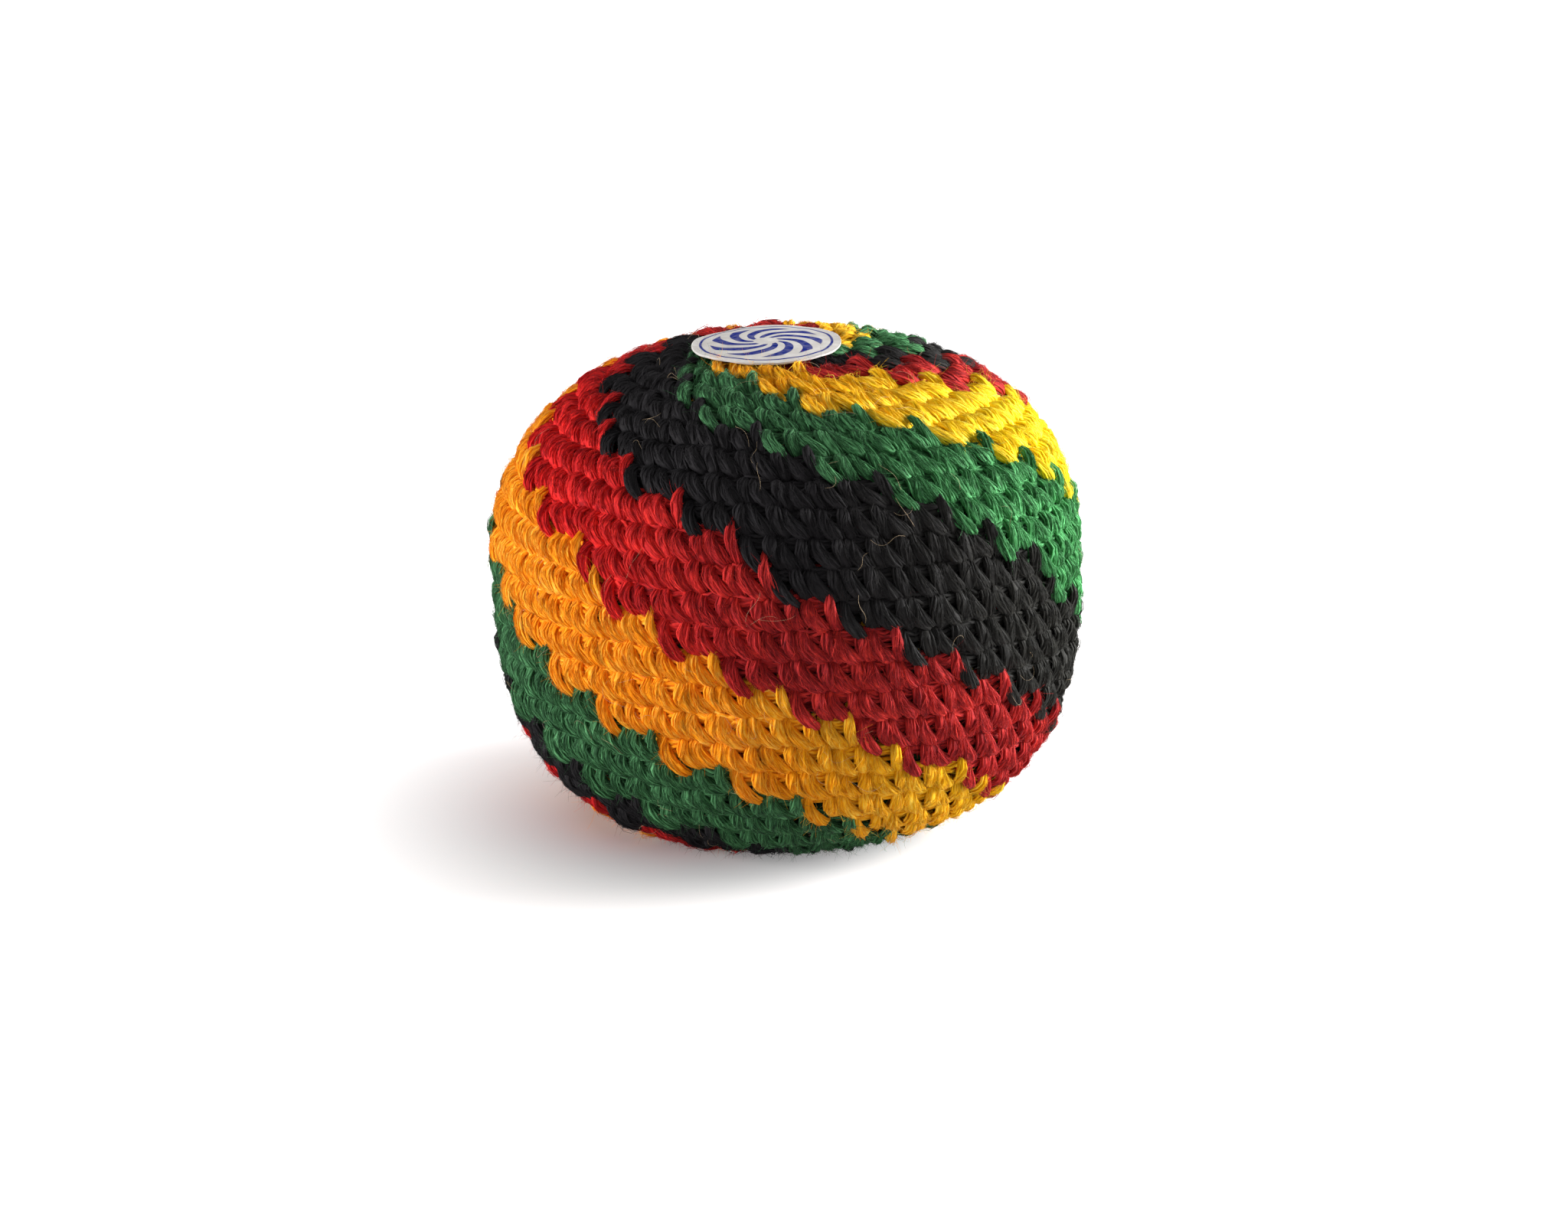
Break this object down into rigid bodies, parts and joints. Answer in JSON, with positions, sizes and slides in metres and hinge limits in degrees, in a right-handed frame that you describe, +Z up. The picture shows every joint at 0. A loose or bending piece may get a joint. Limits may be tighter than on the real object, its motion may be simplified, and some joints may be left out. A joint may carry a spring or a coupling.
{
  "type": "crocheted footbag",
  "caption": "Small round kick ball crocheted in one spiral of coloured yarn stripes, filled with loose pellets, with a round paper label on top and a settled flat bottom.",
  "frame": {"origin": "middle of the ball's footprint, at the height of the surface it rests on", "axes": "+Z up through the label, -Y towards the side with the long gold and red stripes, +X to the right of that side"},
  "size_m": [0.0589, 0.0588, 0.0494],
  "materials": {
    "gold_yarn": "soft twisted yarn, matt with a faint sheen",
    "red_yarn": "soft twisted yarn, matt with a faint sheen",
    "black_yarn": "soft twisted yarn, matt and fuzzy",
    "green_yarn": "soft twisted yarn, matt with a faint sheen",
    "starting_yarn": "soft twisted yarn, matt",
    "closing_yarn": "soft twisted yarn, matt",
    "carried_yarn": "soft twisted yarn, matt",
    "pellets": "smooth moulded pellets",
    "label_paper": "thin coated paper"
  },
  "bodies": {
    "root": {"gold_stripe_1": "gold_yarn", "gold_stripe_2": "gold_yarn", "red_stripe_1": "red_yarn", "red_stripe_2": "red_yarn", "black_stripe_1": "black_yarn", "black_stripe_2": "black_yarn", "green_stripe_1": "green_yarn", "green_stripe_2": "green_yarn", "starting_rounds": "starting_yarn", "closing_rounds": "closing_yarn", "carried_strands": "carried_yarn", "pellet_fill": "pellets", "label": "label_paper"}
  },
  "joints": []
}
